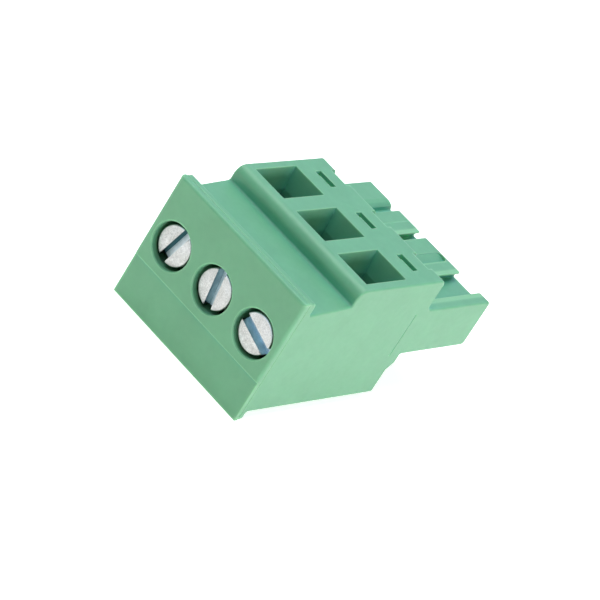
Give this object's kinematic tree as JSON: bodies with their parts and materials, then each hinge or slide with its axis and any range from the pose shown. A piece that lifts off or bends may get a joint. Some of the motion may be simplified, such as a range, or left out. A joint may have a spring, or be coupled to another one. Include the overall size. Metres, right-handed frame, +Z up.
{
  "type": "pluggable terminal block",
  "caption": "Green plug-in screw terminal block for a pin header, with wire funnels on top, slotted clamping screws in front and a coded nose behind.",
  "frame": {"origin": "middle of the overall box in X and Y, at the lowest edge of the front lip", "axes": "+X along the row of poles, +Y from the front cover to the tip of the plug nose, +Z up, out of the wire funnels"},
  "size_m": [0.0152, 0.026, 0.0124],
  "materials": {
    "green_plastic": "fine satin moulding, slightly translucent green",
    "zinc_steel": "dull zinc plating, pale and finely speckled",
    "plated_steel": "zinc plated sheet",
    "tinned_copper": "tin plated copper alloy strip"
  },
  "bodies": {
    "plug": {"housing": "green_plastic", "front_cover": "green_plastic", "contact_1": "tinned_copper", "contact_2": "tinned_copper", "contact_3": "tinned_copper"},
    "screw_1": {"screw_1": "zinc_steel"},
    "sleeve_1": {"sleeve_1": "plated_steel"},
    "screw_2": {"screw_2": "zinc_steel"},
    "sleeve_2": {"sleeve_2": "plated_steel"},
    "screw_3": {"screw_3": "zinc_steel"},
    "sleeve_3": {"sleeve_3": "plated_steel"}
  },
  "joints": [
    {"name": "screw_1_turn", "type": "hinge", "parent": "plug", "child": "screw_1", "pos_m": [-0.00508, -0.0126, 0.00663], "axis": [0, 1, 0], "range_deg": [0, 2520.5]},
    {"name": "sleeve_1_slide", "type": "slide", "parent": "plug", "child": "sleeve_1", "axis": [0, -1, 0], "range_m": [0, 0.0035]},
    {"name": "screw_2_turn", "type": "hinge", "parent": "plug", "child": "screw_2", "pos_m": [0, -0.0126, 0.00663], "axis": [0, 1, 0], "range_deg": [0, 2520.5]},
    {"name": "sleeve_2_slide", "type": "slide", "parent": "plug", "child": "sleeve_2", "axis": [0, -1, 0], "range_m": [0, 0.0035]},
    {"name": "screw_3_turn", "type": "hinge", "parent": "plug", "child": "screw_3", "pos_m": [0.00508, -0.0126, 0.00663], "axis": [0, 1, 0], "range_deg": [0, 2520.5]},
    {"name": "sleeve_3_slide", "type": "slide", "parent": "plug", "child": "sleeve_3", "axis": [0, -1, 0], "range_m": [0, 0.0035]}
  ],
  "couplings": [
    {"joint": "screw_1_turn", "follows": "sleeve_1_slide", "rad_per_m": 12566},
    {"joint": "screw_2_turn", "follows": "sleeve_2_slide", "rad_per_m": 12566},
    {"joint": "screw_3_turn", "follows": "sleeve_3_slide", "rad_per_m": 12566}
  ]
}
